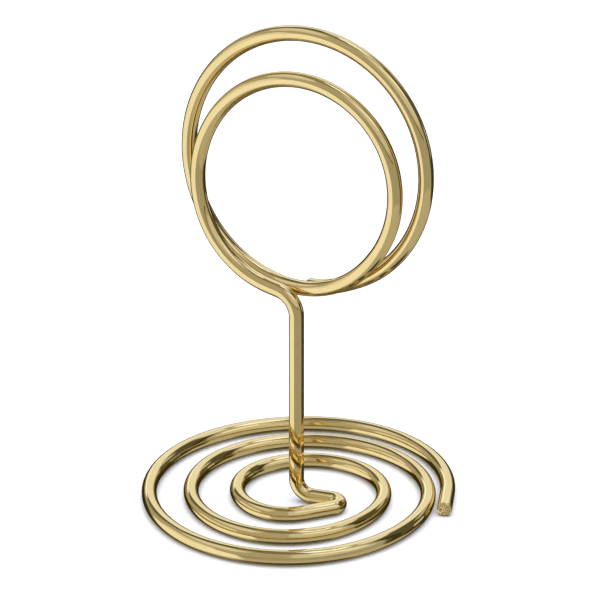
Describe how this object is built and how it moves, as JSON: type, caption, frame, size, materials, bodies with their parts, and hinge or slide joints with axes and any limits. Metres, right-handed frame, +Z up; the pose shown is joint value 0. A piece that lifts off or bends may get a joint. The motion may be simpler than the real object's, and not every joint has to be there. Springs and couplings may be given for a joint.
{
  "type": "table number holder",
  "caption": "Free-standing card holder bent from one polished gold wire: a flat coiled foot, a short upright stem and two overlapping loops that grip a card.",
  "frame": {"origin": "centre of the bounding box's floor, on the table under the coiled foot", "axes": "+X to the right seen from the front, along the plane of the loops; -Y is the front, where the smaller loop is; +Z up"},
  "size_m": [0.0534, 0.0544, 0.0841],
  "materials": {
    "gold_wire": "polished"
  },
  "bodies": {
    "stand": {"outer_coil": "gold_wire", "middle_coil": "gold_wire", "inner_coil": "gold_wire", "hairpin_bend": "gold_wire", "centre_arm": "gold_wire", "foot_bend": "gold_wire", "stem": "gold_wire", "neck_bend": "gold_wire", "front_loop": "gold_wire"},
    "spring_loop": {"rear_loop": "gold_wire"}
  },
  "joints": [
    {"name": "card_grip", "type": "hinge", "parent": "stand", "child": "spring_loop", "pos_m": [-0.00019, 0.00072, 0.03841], "axis": [-0.9985, 0.023, -0.05], "range_deg": [0, 6], "stiffness_Nm_per_rad": 0.4}
  ]
}
